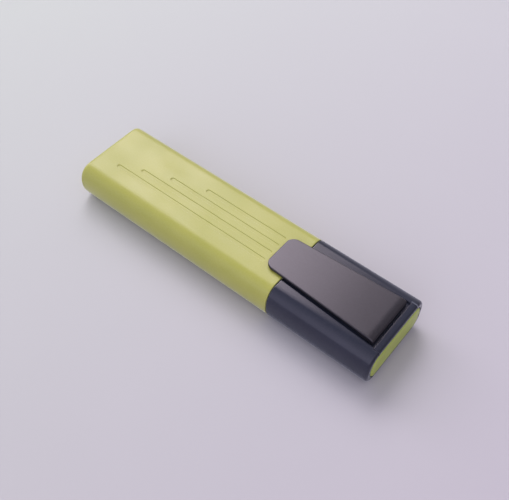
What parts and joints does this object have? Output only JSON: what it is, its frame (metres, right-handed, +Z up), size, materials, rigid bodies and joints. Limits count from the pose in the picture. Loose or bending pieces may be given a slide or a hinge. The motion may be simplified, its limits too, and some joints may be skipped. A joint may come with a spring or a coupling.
{
  "type": "highlighter pen",
  "caption": "Flat-oval highlighter pen with a lime barrel, pressed lines on its top, a dark push-on cap with a broad plate clip, a chisel nib and an ink reservoir inside.",
  "frame": {"origin": "centre of the level underside, midway along the capped pen", "axes": "+X along the pen from the tail to the cap end, +Y across its width, +Z up through the clip"},
  "size_m": [0.1106, 0.028, 0.0143],
  "materials": {
    "lime_plastic": "satin",
    "charcoal_plastic": "satin",
    "clip_plastic": "semi-gloss",
    "natural_plastic": "satin",
    "inked_felt": "fibrous",
    "inked_fibre": "fibrous",
    "clear_film": "glossy"
  },
  "bodies": {
    "barrel": {"barrel": "lime_plastic", "tail_plug": "lime_plastic", "reservoir_core": "inked_fibre", "reservoir_film": "clear_film", "nib_section": "charcoal_plastic", "chisel_nib": "inked_felt"},
    "cap": {"cap_shell": "charcoal_plastic", "cap_plug": "lime_plastic", "inner_seal": "natural_plastic"},
    "clip": {"clip": "clip_plastic"}
  },
  "joints": [
    {"name": "cap_pull", "type": "slide", "parent": "barrel", "child": "cap", "axis": [1, 0, 0], "range_m": [0, 0.045]},
    {"name": "clip_flex", "type": "hinge", "parent": "cap", "child": "clip", "pos_m": [0.05085, 0, 0.0118], "axis": [0, 1, 0], "range_deg": [0, 4], "stiffness_Nm_per_rad": 0.02}
  ]
}
